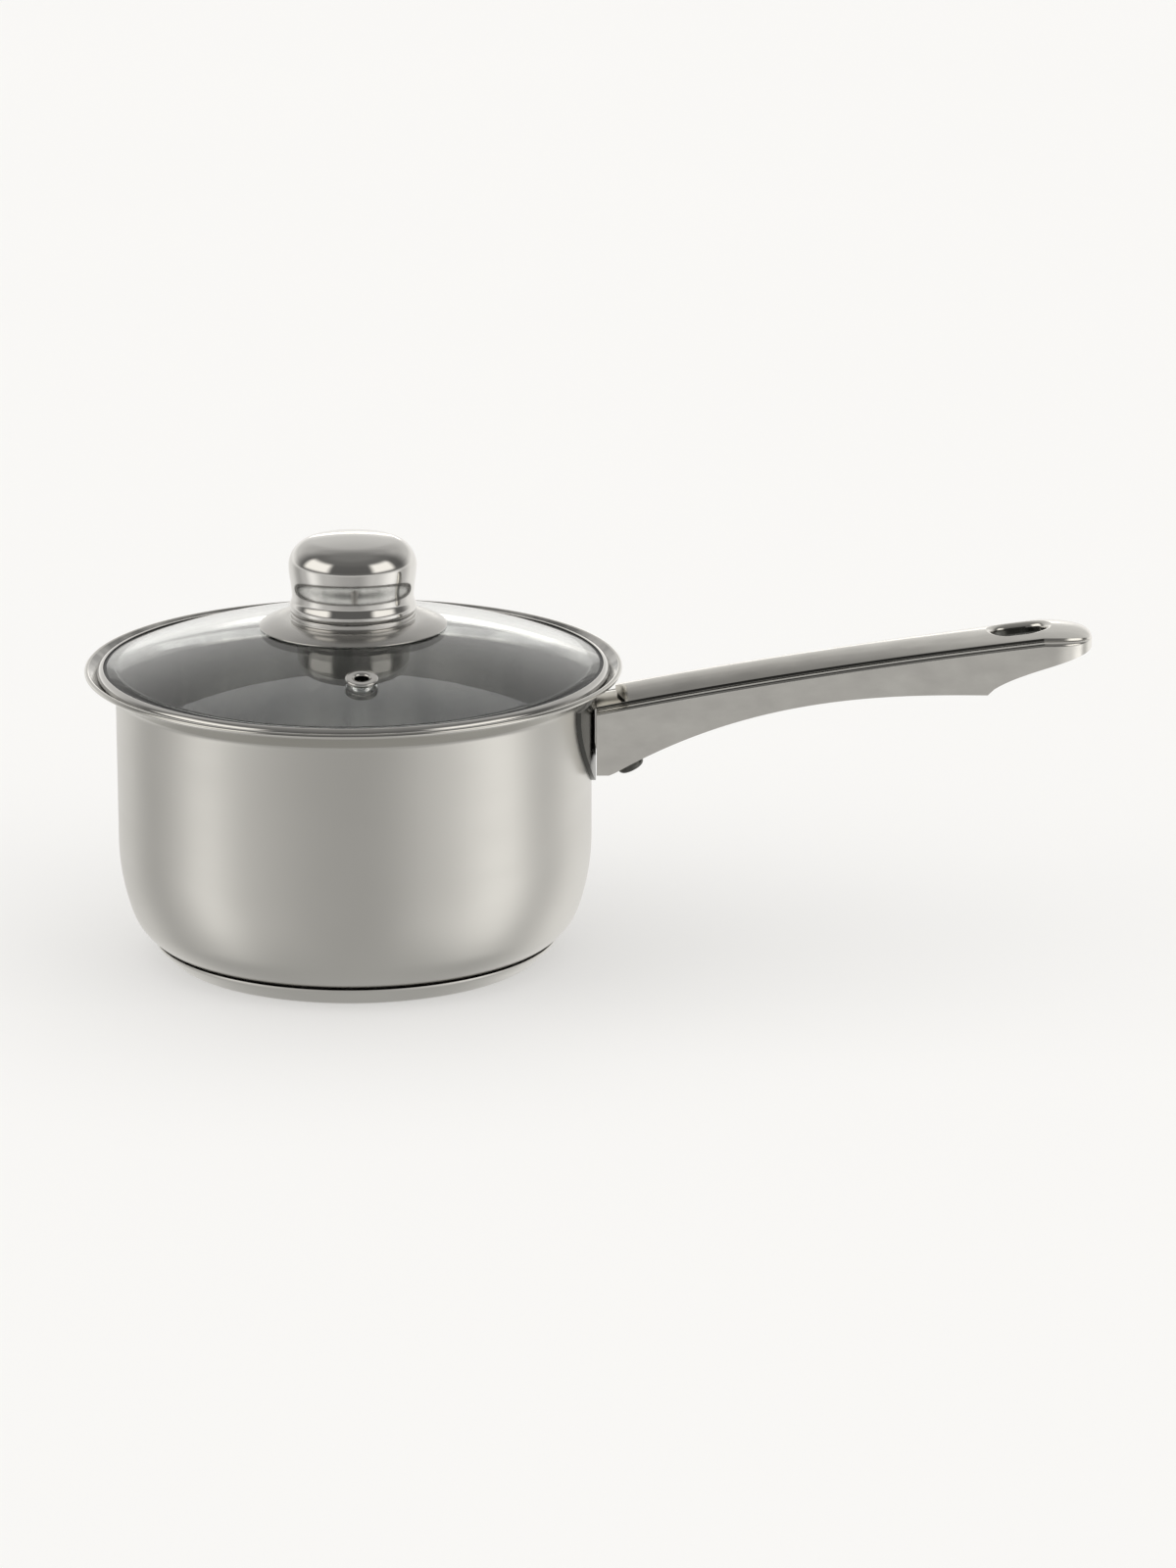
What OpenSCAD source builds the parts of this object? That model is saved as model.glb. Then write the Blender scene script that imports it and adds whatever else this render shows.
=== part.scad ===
// Saucepan with a domed glass lid. Millimetres, +Z up.
// The pan's axis is Z, its base rests on z = 0, and the handle runs along +X.

/* [Pan] */
// Inside diameter of the straight wall
inner_d = 160; // [140:1:200]
// Thickness of the pan's steel sheet
wall_t = 0.5; // [0.4:0.1:1]
// Height at which the straight wall turns out into the pouring flare
flare_z = 92.3; // [80:0.1:130]
// Height at which the straight wall ends and the belly curve starts
belly_z = 41; // [38:1:60]
// Radius of the gentle upper curve of the belly
belly_r = 74; // [60:1:78]
// Radius of the tight lower curve of the belly
corner_r = 18; // [12:1:22]
// Horizontal reach of the flare, from the wall to the outside of the lip
flare_w = 10.4; // [8.5:0.1:14]
// Slope of the flare above the horizontal, in degrees
flare_angle = 38.3; // [32:0.1:42]
// Radius of the rolled bead on the lip
bead_r = 0.9; // [0.7:0.1:1.2]

/* [Base] */
// Underside of the pan's floor above the table
floor_z = 4.6; // [3:0.1:8]
// Thickness of the steel cap under the base
cap_t = 0.5; // [0.4:0.1:0.8]
// How far the base cap's rim stands inside the wall
cap_inset = 11.3; // [9:0.1:14]
// Height of the base cap's rim
cap_h = 6.6; // [5.5:0.1:7]
// Radius of the cap's bottom edge
cap_edge_r = 3; // [2:0.1:4]

/* [Handle] */
// Distance from the pan's wall to the handle's tip
handle_reach = 168.9; // [140:0.1:220]
// Gap between the wall and the handle's front edge
handle_gap = 1.7; // [1.5:0.1:3]
// Thickness of the handle's steel sheet
handle_t = 1.2; // [1:0.1:1.6]
// Full width of the handle at the pan
handle_w = 27; // [24:0.1:32]
// How much wider the handle is at its far end
handle_flare = 7; // [2:0.1:9]
// Height of the handle's crest at the pan, below the flare's start
crest_drop = 0.9; // [0.5:0.1:6]
// Rise of the crest from the pan to the far end
crest_rise = 22.6; // [10:0.1:40]
// Upward bow of the crest between its ends
crest_bow = 1.8; // [0:0.1:6]
// Height of the arched crown above its edges, at the pan
crown_h = 3.8; // [2.5:0.1:4.2]
// Height of the arched crown above its edges, at the far end
crown_tip_h = 1.6; // [1.2:0.1:3.5]
// Width of the ledge on each side of the crown
ledge_w = 3.8; // [3:0.1:4.2]
// Depth of the side walls at the pan
side_front_h = 26.8; // [24:0.1:29]
// Depth of the side walls at their rear point
side_rear_h = 18.6; // [14:0.1:22]
// Distance from the tip back to the side walls' rear point
notch_len = 35.6; // [30:0.1:45]
// Length of the rounded end of the handle
tip_len = 17; // [12:0.1:20]
// Clear length of the hanging slot
slot_len = 18.5; // [14:0.1:24]
// Clear width of the hanging slot
slot_w = 13; // [6:0.1:13.5]
// Distance from the tip to the slot's end
slot_inset = 15.3; // [11:0.1:20]

/* [Handle fixing] */
// Half width of the shield against the wall
shield_half_w = 28; // [20:0.1:34]
// Height of the shield's rounded part
shield_h = 26.5; // [20:0.1:29]
// Thickness of the shield
shield_t = 1.4; // [0.8:0.1:1.4]
// Thickness of the tongue
tongue_t = 1.5; // [1:0.1:2]
// How far the tongue reaches into the handle
tongue_len = 28; // [22:0.1:40]
// Thickness of the clamp plate under the handle
clamp_t = 2; // [1.5:0.1:3]
// Nominal diameter of both screws
screw_d = 4.9; // [3.9:0.1:5.9]
// Height of the handle screw's head
handle_head_h = 5; // [2.5:0.1:5.5]

/* [Lid] */
// How far the steel band round the glass stands inside the lip
lid_inset = 4.3; // [3:0.1:6]
// Radius of the band's round section
band_r = 2; // [1.8:0.1:2.4]
// Thickness of the band's steel
band_t = 0.5; // [0.4:0.1:0.6]
// Thickness of the glass
glass_t = 4; // [3:0.1:5]
// Rise of the dome from the edge of the glass to its top
dome_rise = 15.6; // [10:0.1:24]
// Clearance of the lid above its seat on the flare
seat_gap = 0.15; // [0.1:0.05:0.5]
// Distance from the outside of the band to the centre of the steam vent
vent_inset = 30.9; // [14:0.1:34]
// Direction of the vent round the lid, in degrees from the handle
vent_azimuth = -85; // [-180:1:180]
// Clear diameter of the vent
vent_d = 4.7; // [3:0.1:6]
// Diameter of the vent eyelet's flange
vent_flange_d = 10.9; // [9:0.1:14]

/* [Knob] */
// Diameter of the knob's skirt
skirt_d = 63.4; // [52:0.1:76]
// Diameter of the knob's cap at its shoulder
knob_d = 43.2; // [36:0.1:48]
// Height of the knob's cap
knob_h = 25.7; // [22:0.1:34]
// How much the cap narrows at its waist, on the radius
waist_in = 1; // [0:0.1:1.5]
// Radius of the cap's rounded shoulder
shoulder_r = 9; // [5:0.1:10]
// Radius of the cap's crowned top
crown_r = 90; // [60:1:200]
// Thickness of the knob's steel sheet
knob_t = 0.8; // [0.6:0.1:1]
// Height of the skirt's raised seat above the top of the glass
skirt_step = 3.2; // [2.8:0.1:5]

/* [Hidden] */
$fn = 96;

// Small gap between pieces that are joined to each other
fit = 0.05;
// Overshoot of cutting tools
over = 1;
// Points on a drawn arc
arc_n = 12;

wall_r = inner_d / 2 + wall_t;
lip_r = wall_r + flare_w;
band_axis_r = lip_r - lid_inset - band_r;
vent_pos = band_axis_r + band_r - vent_inset;
knob_r = knob_d / 2;
skirt_r = skirt_d / 2;
screw_r = screw_d / 2;
head_r = screw_d * 0.95;
knob_head_h = screw_d * 0.55;

// Points of an arc about c, from angle a0 to angle a1
function arc(c, r, a0, a1, n = arc_n) =
    [for (i = [0:n]) let (a = a0 + (a1 - a0) * i / n) c + r * [cos(a), sin(a)]];
function reversed(p) = [for (i = [len(p) - 1:-1:0]) p[i]];
function mix(a, b, s) = a + (b - a) * s;

// ---------------------------------------------------------------- pan

// Centres of the two belly arcs. They meet smoothly and end level with the floor.
belly_c = [wall_r - belly_r, belly_z];
corner_drop = belly_z - floor_z - corner_r;
corner_c = [belly_c.x + sqrt(pow(belly_r - corner_r, 2) - pow(corner_drop, 2)), floor_z + corner_r];
belly_a = atan2(corner_c.y - belly_c.y, corner_c.x - belly_c.x);

// Height of the flare's outer face at radius r, moved by d towards the inside
function flare_at(r, d) = flare_z + (d + (r - wall_r) * sin(flare_angle)) / cos(flare_angle);
bead_c = [lip_r - bead_r, flare_at(lip_r - bead_r, wall_t - bead_r)];
lip_z = bead_c.y + bead_r;

// One face of the pan's sheet, from the axis to the lip, d inside the outer face
function pan_face(d) = concat(
    [[0, floor_z + d]],
    arc(corner_c, corner_r - d, -90, belly_a),
    arc(belly_c, belly_r - d, belly_a, 0),
    [[wall_r - d, flare_z + d * (1 - sin(flare_angle)) / cos(flare_angle)],
     [bead_c.x, flare_at(bead_c.x, d)]]);

module pan_body() {
    color("silver") rotate_extrude() {
        polygon(concat(pan_face(0), reversed(pan_face(wall_t))));
        translate(bead_c) circle(bead_r, $fn = 32);
    }
}

// The base cap's sloping side joins its rounded bottom edge to its rounded rim.
// cap_slope is how far the side faces down, in degrees, and cap_side is its length.
rim_edge_r = 2;
cap_slope = 45;
cap_side = (cap_h - cap_edge_r + (cap_edge_r - rim_edge_r) * sin(cap_slope)) / cos(cap_slope);
cap_rim_c = [wall_r - cap_inset - rim_edge_r, cap_h];
cap_edge_c = cap_rim_c - cap_side * [sin(cap_slope), cos(cap_slope)]
    - (cap_edge_r - rim_edge_r) * [cos(cap_slope), -sin(cap_slope)];
// One face of the cap, from the axis to its rim, d inside the outer face
function cap_face(d) = concat(
    [[0, d]],
    arc(cap_edge_c, cap_edge_r - d, -90, -cap_slope),
    arc(cap_rim_c, rim_edge_r - d, -cap_slope, 0, 4));

module base_cap() {
    color("silver") rotate_extrude()
        polygon(concat(cap_face(0), reversed(cap_face(cap_t))));
}

// Aluminium disc that spreads the heat, held between the floor and the cap
module base_disc() {
    color("gainsboro") rotate_extrude() intersection() {
        polygon(concat(cap_face(cap_t + fit), [[0, cap_h]]));
        square([wall_r, floor_z - fit]);
    }
}

// ---------------------------------------------------------------- handle

// The crest runs from the pan's wall to where the rounded end starts to drop
handle_x0 = wall_r + handle_gap;
handle_x1 = wall_r + handle_reach;
tip_x = handle_x1 - tip_len;
crest_z0 = flare_z - crest_drop;
function crest_at(x) = let (s = (x - handle_x0) / (tip_x - handle_x0))
    crest_z0 + crest_rise * s + crest_bow * 4 * s * (1 - s);

// Height of the side walls' lower edge: a deepening curve to the rear point, then the notch
notch_x = handle_x1 - notch_len;
side_z0 = crest_z0 - side_front_h;
side_z1 = crest_at(notch_x) - side_rear_h;
side_level = 4.7;
side_x0 = handle_x0 + side_level;
side_power = 2.6;
notch_power = 0.66;
tip_drop = 4.2;
tip_wall_h = 2.2;
notch_z1 = crest_at(tip_x) - tip_drop - tip_wall_h;
function side_at(x) = x < side_x0 ? side_z0
    : x < notch_x ? side_z1 - (side_z1 - side_z0) * pow((notch_x - x) / (notch_x - side_x0), side_power)
    : mix(side_z1, notch_z1, pow(min(1, (x - notch_x) / (handle_x1 - notch_x)), notch_power));

// Right half of the outer section, from the side wall's foot to the crest.
// w is the half width, c the crest's height, h the crown's rise, k shrinks it all at the tip.
corner_soft = 1.4;
step_out = 0.4;
step_drop = 0.9;
least_wall = 0.3;
arch_n = 7;
function half_section(w, c, zb, h, k) =
    let (edge = c - h * k, wc = w - ledge_w * k, foot = edge - (step_drop + corner_soft) * k,
         arch_r = (wc * wc + pow(h * k, 2)) / (2 * h * k), arch_a = asin(wc / arch_r))
    concat(
        [[w, min(zb, foot - least_wall)], [w, foot]],
        arc([w - corner_soft * k, foot], corner_soft * k, 30, 80, 2),
        [[wc + step_out * k, edge - step_drop * k], [wc, edge]],
        [for (i = [arch_n - 1:-1:0]) let (a = arch_a * i / arch_n)
            [arch_r * sin(a), c - arch_r * (1 - cos(a))]]);

// Stations along the handle: evenly spaced, with one at the notch, then round the tip
body_n = 24;
tip_n = 12;
tip_a = 84;
// Seen from above the end is a superellipse: a power under 1 makes it blunter than a circle
tip_power = 0.77;
function station(i, d) = let (a = tip_a * (i - body_n) / tip_n)
    i <= body_n ? [mix(handle_x0, tip_x, i / body_n), 1]
        : [tip_x + (tip_len - d) * pow(sin(a), tip_power), pow(cos(a), tip_power)];
function ring(i, d) =
    let (st = station(i, d), x = st.x, k = st.y,
         s = (x - handle_x0) / (tip_x - handle_x0),
         widen = min(1, s * s),
         w = (handle_w / 2 + handle_flare / 2 * widen - d) * k,
         c = crest_at(min(x, tip_x)) - tip_drop * (1 - k) - d,
         half = half_section(w, c, side_at(x), mix(crown_h, crown_tip_h, widen), k))
    concat([for (p = half) [x, -p.x, p.y]],
           [for (j = [len(half) - 2:-1:0]) [x, half[j].x, half[j].y]]);

module handle_blank() {
    rows = body_n + tip_n + 1;
    outer = [for (i = [0:rows - 1]) ring(i, 0)];
    inner = [for (i = [0:rows - 1]) ring(i, handle_t)];
    m = len(outer[0]);
    half = (m - 3) / 2;
    shift = rows * m;
    last = shift - m;
    points = [for (r = concat(outer, inner)) for (p = r) p];
    // Two triangles for a quad of point numbers
    function quad(a, b, c, d) = [[a, b, c], [a, c, d]];
    faces = concat(
        [for (i = [0:rows - 2]) for (j = [0:m - 2]) let (a = i * m + j)
            each quad(a, a + 1, a + m + 1, a + m)],
        [for (i = [0:rows - 2]) for (j = [0:m - 2]) let (a = shift + i * m + j)
            each quad(a + m, a + m + 1, a + 1, a)],
        [for (j = [0:m - 2]) each quad(shift + j, shift + j + 1, j + 1, j)],
        [for (i = [0:rows - 2]) for (j = [0, m - 1]) let (a = i * m + j, b = a + shift)
            each j == 0 ? quad(a, a + m, b + m, b) : quad(b, b + m, a + m, a)],
        [for (j = [0:half]) let (a = last + j, b = last + m - 1 - j)
            each j < half ? quad(a, a + 1, b - 1, b) : [[a, a + 1, b]]],
        [for (j = [0:half]) let (a = shift + last + j, b = shift + last + m - 1 - j)
            each j < half ? quad(b, b - 1, a + 1, a) : [[b, a + 1, a]]],
        [let (a = last, b = last + m - 1) each quad(a, b, b + shift, a + shift)]);
    polyhedron(points = points, faces = faces);
}

// Upright bar with round ends, along X
module slot_bar(length, width, h) {
    linear_extrude(height = h) union() {
        translate([width / 2, -width / 2]) square([length - width, width]);
        for (x = [width / 2, length - width / 2]) translate([x, 0]) circle(width / 2, $fn = 48);
    }
}

slot_x1 = handle_x1 - slot_inset;
mouth_back = 6.4;
mouth_rake = 4.2;
mouth_sill = 0.4;
module handle_shell() {
    mouth_x = handle_x0 + mouth_back;
    low_z = crest_z0 - crown_h - mouth_sill;
    high_z = crest_at(mouth_x) + over;
    color("silver") difference() {
        handle_blank();
        translate([slot_x1 - slot_len, 0, side_z1]) slot_bar(slot_len, slot_w, side_rear_h + crest_rise);
        // The crown is cut back at the pan, raked so that its top reaches furthest forward
        rotate([90, 0, 0]) linear_extrude(height = handle_w - 2 * ledge_w, center = true)
            polygon([[handle_x0 - over, low_z], [mouth_x + mouth_rake, low_z], [mouth_x, high_z - over],
                     [mouth_x - mouth_rake / 3, high_z], [handle_x0 - over, high_z]]);
    }
}

// ---------------------------------------------------------------- handle fixing

shield_r = wall_r + fit;
shield_top = flare_z - 1.5;
shield_side_h = 4.5;
shield_mid = shield_top - shield_side_h;
shield_power = 1.55;

// Thin plate that hugs the wall, straight at the top and rounded below
module handle_shield() {
    outline = [for (i = [-24:24]) let (y = i / 24)
        [y * shield_half_w,
         shield_mid - shield_h * pow(1 - pow(abs(y), shield_power), 1 / shield_power)]];
    color("gray") intersection() {
        difference() {
            cylinder(h = shield_top, r = shield_r + shield_t);
            translate([0, 0, -over]) cylinder(h = shield_top + 2 * over, r = shield_r);
        }
        rotate([90, 0, 90]) linear_extrude(height = lip_r)
            polygon(concat(outline, [[shield_half_w, shield_top], [-shield_half_w, shield_top]]));
    }
}

crest_pitch = atan((crest_at(handle_x0 + tongue_len) - crest_z0) / tongue_len);

// Inverted channel that enters the handle under its crown. It is welded to the shield.
tongue_gap = 0.4;
tongue_h = 18.5;
crown_inner = handle_w / 2 - handle_t - ledge_w;
crown_inner_r = (pow(crown_inner, 2) + pow(crown_h, 2)) / (2 * crown_h);
tongue_half = crown_inner - 2 * tongue_gap;
module tongue_section(d) {
    w = tongue_half - d;
    intersection() {
        translate([-w, -tongue_h - (d > 0 ? over : 0)]) square([2 * w, 2 * tongue_h]);
        translate([0, -crown_inner_r]) circle(crown_inner_r - tongue_gap - d, $fn = 128);
    }
}
module handle_tongue() {
    color("darkgray") difference() {
        translate([handle_x0, 0, crest_z0 - handle_t])
            rotate([0, -crest_pitch, 0]) translate([-2 * handle_gap, 0, 0])
            rotate([90, 0, 90]) linear_extrude(height = tongue_len) difference() {
                tongue_section(0);
                tongue_section(tongue_t);
            }
        cylinder(h = flare_z + over, r = shield_r + shield_t + fit);
    }
}

// The clamp plate lies across the open underside, along the side walls' lower edges
clamp_len = 13;
clamp_back = 10;
clamp_x = handle_x0 + clamp_back;
clamp_inset = 0.6;
clamp_pitch = atan((side_at(clamp_x + clamp_len / 2) - side_at(clamp_x - clamp_len / 2)) / clamp_len);
clamp_side_gap = 0.3;
clamp_half_w = handle_w / 2 - handle_t - clamp_side_gap;
// Clearance of a screw's shank in a plain hole, on the radius
shank_gap = 0.3;
nut_h = 5;
nut_len = 8;
nut_up = 6;
module at_clamp() {
    translate([clamp_x, 0, side_at(clamp_x) + clamp_inset]) rotate([0, -clamp_pitch, 0]) children();
}
module clamp_plate() {
    color("silver") at_clamp() difference() {
        translate([-clamp_len / 2, -clamp_half_w, 0]) cube([clamp_len, 2 * clamp_half_w, clamp_t]);
        translate([0, 0, -over]) cylinder(h = clamp_t + 2 * over, r = screw_r + shank_gap, $fn = 32);
    }
}
// Bar welded between the tongue's legs, tapped for the screw
module clamp_nut() {
    half = tongue_half - tongue_t - fit;
    color("dimgray") at_clamp() difference() {
        translate([-nut_len / 2, -half, nut_up]) cube([nut_len, 2 * half, nut_h]);
        translate([0, 0, nut_up - over]) cylinder(h = nut_h + 2 * over, r = screw_r + fit, $fn = 32);
    }
}
module handle_screw() {
    color("darkgray") at_clamp() screw(nut_up + nut_h - fit, fit, handle_head_h);
}

// Round-headed screw with its shank up +Z and a cross recess; its head seats at z = -gap
module screw(shank, gap, head_h) {
    soft = screw_d / 3;
    recess_w = screw_d * 0.2;
    recess_l = screw_d * 0.9;
    difference() {
        union() {
            rotate_extrude($fn = 48) polygon(concat([[0, -gap], [head_r, -gap]],
                arc([head_r - soft, -gap - head_h + soft], soft, 0, -90, 6),
                [[0, -gap - head_h]]));
            translate([0, 0, -gap - head_h / 2])
                cylinder(h = shank + gap + head_h / 2, r = screw_r, $fn = 32);
        }
        for (a = [0, 90]) rotate(a) translate([-recess_l / 2, -recess_w / 2, -gap - head_h - over])
            cube([recess_l, recess_w, over + head_h * 0.4]);
    }
}

// ---------------------------------------------------------------- lid

// The band's section is centred where it clears the flare by the seat gap
band_c = [band_axis_r, flare_at(band_axis_r, wall_t + seat_gap + band_r)];
edge_r = band_r - band_t - fit;
// The dome's outer face meets the rounded edge where both have the same slope
dome_r = (pow(band_axis_r, 2) + pow(dome_rise, 2)) / (2 * dome_rise);
dome_a = asin(band_axis_r / dome_r);
dome_c = band_c.y + (edge_r - dome_r) * cos(dome_a);
glass_z = dome_c + dome_r;
// Width over which the underside of the glass thins towards the edge
taper_w = 5;
inner_a = asin((band_axis_r - taper_w) / (dome_r - glass_t));
// Room round the knob's screw for the silicone collar
collar_room = 1.6;
glass_hole_r = screw_r + collar_room;
vent_tilt = asin(vent_pos / dome_r);

module at_vent() {
    rotate(vent_azimuth) translate([0, 0, dome_c]) rotate([0, vent_tilt, 0])
        translate([0, 0, dome_r]) children();
}

vent_tube_t = 1.1;
vent_tube_r = vent_d / 2 + vent_tube_t;
vent_room = 0.2;
module lid_glass() {
    color("lightcyan", 0.4) difference() {
        rotate_extrude() polygon(concat(
            arc([0, dome_c], dome_r, 90, 90 - dome_a, 24),
            arc(band_c, edge_r, 90 - dome_a, -90 - dome_a, 10),
            arc([0, dome_c], dome_r - glass_t, 90 - inner_a, 90, 20)));
        translate([0, 0, dome_c]) cylinder(h = dome_r + over, r = glass_hole_r, $fn = 48);
        at_vent() translate([0, 0, -2 * glass_t])
            cylinder(h = 3 * glass_t, r = vent_tube_r + vent_room, $fn = 48);
    }
}

// Steel band rolled over the edge of the glass
band_top_a = 85;
band_low_a = -108;
module lid_band() {
    color("silver") rotate_extrude() polygon(concat(
        arc(band_c, band_r, band_top_a, band_low_a, 20),
        arc(band_c, band_r - band_t, band_low_a, band_top_a, 20)));
}

// The eyelet's tube passes through the glass and the washer, and is rolled out below
vent_flange_h = 1.3;
vent_wash_t = 0.8;
vent_wash_in = 0.4;
vent_roll = 0.9;
vent_low = -glass_t - 2 * fit - vent_wash_t;
module vent_eyelet() {
    r0 = vent_d / 2;
    rf = vent_flange_d / 2;
    soft = vent_flange_h * 0.6;
    color("silver") at_vent() rotate_extrude($fn = 48) polygon(concat(
        [[r0, vent_low - vent_roll]],
        [[vent_tube_r + vent_roll, vent_low - vent_roll], [vent_tube_r + vent_roll, vent_low - fit],
         [vent_tube_r, vent_low - fit], [vent_tube_r, fit], [rf, fit]],
        arc([rf - soft, vent_flange_h - soft + fit], soft, 0, 90, 6),
        arc([r0 + soft, vent_flange_h - soft + fit], soft, 90, 180, 6)));
}
module vent_washer() {
    color("silver") at_vent() translate([0, 0, vent_low]) difference() {
        cylinder(h = vent_wash_t, r = vent_flange_d / 2 - vent_wash_in, $fn = 48);
        translate([0, 0, -over]) cylinder(h = vent_wash_t + 2 * over, r = vent_tube_r + fit, $fn = 48);
    }
}

// ---------------------------------------------------------------- knob

seat_z = glass_z + skirt_step;
// The holes that the knob's screw passes through, and the foot that stands inside the shoulder
knob_hole_r = screw_r + shank_gap + 2 * fit;
foot_in = 0.6;
step_r = knob_r - foot_in;
step_h = 1.9;
step_soft = 0.5;
step_foot_z = seat_z - step_h;
skirt_gap = 0.25;
skirt_edge = 0.5;
skirt_low_z = dome_c + sqrt(pow(dome_r, 2) - pow(skirt_r, 2)) + skirt_gap;
skirt_power = 2.2;
seal_r = 15;

// Upper face of the skirt's disc: level at the step and rolled down at the rim
function skirt_face(lift, r_in, r_out, low, n = 14) =
    [for (i = [0:n]) let (s = i / n)
        [mix(r_in, r_out, s), lift - (lift - low) * pow(s, skirt_power)]];

module knob_skirt() {
    color("silver") rotate_extrude() polygon(concat(
        [[knob_hole_r, seat_z], [step_r - step_soft, seat_z], [step_r, seat_z - step_soft],
         [step_r, step_foot_z + step_soft]],
        skirt_face(step_foot_z, step_r + step_soft, skirt_r, skirt_low_z + skirt_edge),
        [[skirt_r - 2 * fit, skirt_low_z]],
        reversed(skirt_face(step_foot_z - knob_t, step_r, skirt_r - knob_t, skirt_low_z)),
        [[step_r - knob_t, step_foot_z - knob_t + step_soft], [step_r - knob_t, seat_z - knob_t - step_soft],
         [step_r - knob_t - step_soft, seat_z - knob_t], [knob_hole_r, seat_z - knob_t]]));
}

// Silicone ring between the glass and the skirt
module knob_seal_upper() {
    top_z = seat_z - knob_t - fit;
    face_r = dome_r + fit;
    color("dimgray") rotate_extrude() polygon(concat(
        [[seal_r, top_z], [knob_hole_r, top_z]],
        arc([0, dome_c], face_r, 90 - asin(knob_hole_r / face_r), 90 - asin(seal_r / face_r), 4)));
}

seal_t = 1.2;
glass_low_z = glass_z - glass_t;
seal_low_z = glass_low_z - seal_t;
lower_seal_r = 11;
// Silicone washer under the glass, with a collar that keeps the screw off the glass
module knob_seal_lower() {
    collar_r = glass_hole_r - fit;
    face_r = dome_r - glass_t - fit;
    color("dimgray") rotate_extrude() polygon(concat(
        [[knob_hole_r, seal_low_z], [lower_seal_r, seal_low_z]],
        arc([0, dome_c], face_r, 90 - asin(lower_seal_r / face_r), 90 - asin(collar_r / face_r), 4),
        [[collar_r, glass_z - glass_t / 4], [knob_hole_r, glass_z - glass_t / 4]]));
}

washer_t = 1;
washer_z = seal_low_z - fit - washer_t;
module knob_washer() {
    color("silver") translate([0, 0, washer_z]) difference() {
        cylinder(h = washer_t, r = lower_seal_r - 1);
        translate([0, 0, -over]) cylinder(h = washer_t + 2 * over, r = knob_hole_r, $fn = 48);
    }
}

plate_t = 1.5;
plate_gap = 0.1;
plate_z = seat_z + fit;
// Disc that closes the cap's open end and carries the bush
module knob_base_plate() {
    color("gray") translate([0, 0, plate_z]) difference() {
        cylinder(h = plate_t, r = knob_r - foot_in - knob_t - plate_gap);
        translate([0, 0, -over]) cylinder(h = plate_t + 2 * over, r = knob_hole_r, $fn = 48);
    }
}

bush_z = plate_z + plate_t;
bush_h = 12;
bush_r = 5;
// How far the screw's end stands below the bush's top
screw_short = 1;
module knob_bush() {
    color("dimgray") translate([0, 0, bush_z]) difference() {
        cylinder(h = bush_h, r = bush_r, $fn = 48);
        translate([0, 0, -over]) cylinder(h = bush_h + 2 * over, r = screw_r + fit, $fn = 48);
    }
}
module knob_screw() {
    shank = bush_z + bush_h - screw_short - washer_z;
    color("silver") translate([0, 0, washer_z]) screw(shank, fit, knob_head_h);
}

// The cap's outline: a flared foot, a waist, a shoulder and a crowned top
knob_z = seat_z + 4 * fit;
knob_top = knob_z + knob_h;
shoulder_x = knob_r - shoulder_r;
shoulder_z = knob_top - crown_r + sqrt(pow(crown_r - shoulder_r, 2) - pow(shoulder_x, 2));
crown_a = asin(shoulder_x / (crown_r - shoulder_r));
waist_z = knob_z + 5.2;
bulge_z = knob_z + 1.4;
bulge_in = 0.15;
function ease(s) = (1 - cos(180 * s)) / 2;
// One face of the cap's sheet, from its foot to the axis, d inside the outer face
function knob_face(d) = concat(
    [[knob_r - foot_in - d, knob_z]],
    [for (i = [0:8]) let (s = i / 8)
        [knob_r - d - mix(bulge_in, waist_in, ease(s)), mix(bulge_z, waist_z, s)]],
    [for (i = [1:11]) let (s = i / 12)
        [knob_r - d - waist_in * ease(1 - s), mix(waist_z, shoulder_z, s)]],
    arc([shoulder_x, shoulder_z], shoulder_r - d, 0, 90 - crown_a, 16),
    arc([0, knob_top - crown_r], crown_r - d, 90 - crown_a, 90, 8));

module knob_cap() {
    color("silver") rotate_extrude()
        polygon(concat(knob_face(0), reversed(knob_face(knob_t))));
}

pan_body();
base_disc();
base_cap();
handle_shield();
handle_tongue();
handle_shell();
clamp_plate();
clamp_nut();
handle_screw();
lid_glass();
lid_band();
vent_eyelet();
vent_washer();
knob_skirt();
knob_seal_upper();
knob_seal_lower();
knob_washer();
knob_base_plate();
knob_bush();
knob_cap();
knob_screw();
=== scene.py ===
"""Looks of the saucepan: fine steel and glass shells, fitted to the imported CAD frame."""

from math import asin, atan2, cos, degrees, pi, radians, sin, sqrt

import bmesh
import bpy
from mathutils import Matrix, Vector


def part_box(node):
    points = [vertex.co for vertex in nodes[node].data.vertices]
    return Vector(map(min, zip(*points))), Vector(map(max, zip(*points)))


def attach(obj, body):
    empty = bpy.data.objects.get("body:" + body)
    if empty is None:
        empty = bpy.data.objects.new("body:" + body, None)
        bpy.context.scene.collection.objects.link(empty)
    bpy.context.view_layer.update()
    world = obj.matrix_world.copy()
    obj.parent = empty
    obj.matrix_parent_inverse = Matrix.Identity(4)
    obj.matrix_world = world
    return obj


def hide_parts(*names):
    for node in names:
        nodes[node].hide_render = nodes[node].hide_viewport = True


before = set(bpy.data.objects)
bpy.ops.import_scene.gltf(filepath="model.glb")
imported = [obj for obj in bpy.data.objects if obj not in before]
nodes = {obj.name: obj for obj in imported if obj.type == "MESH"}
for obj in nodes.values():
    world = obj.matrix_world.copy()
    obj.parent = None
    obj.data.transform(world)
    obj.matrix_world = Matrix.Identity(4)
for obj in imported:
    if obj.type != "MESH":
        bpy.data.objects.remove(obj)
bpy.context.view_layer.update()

MM = 0.001

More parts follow.
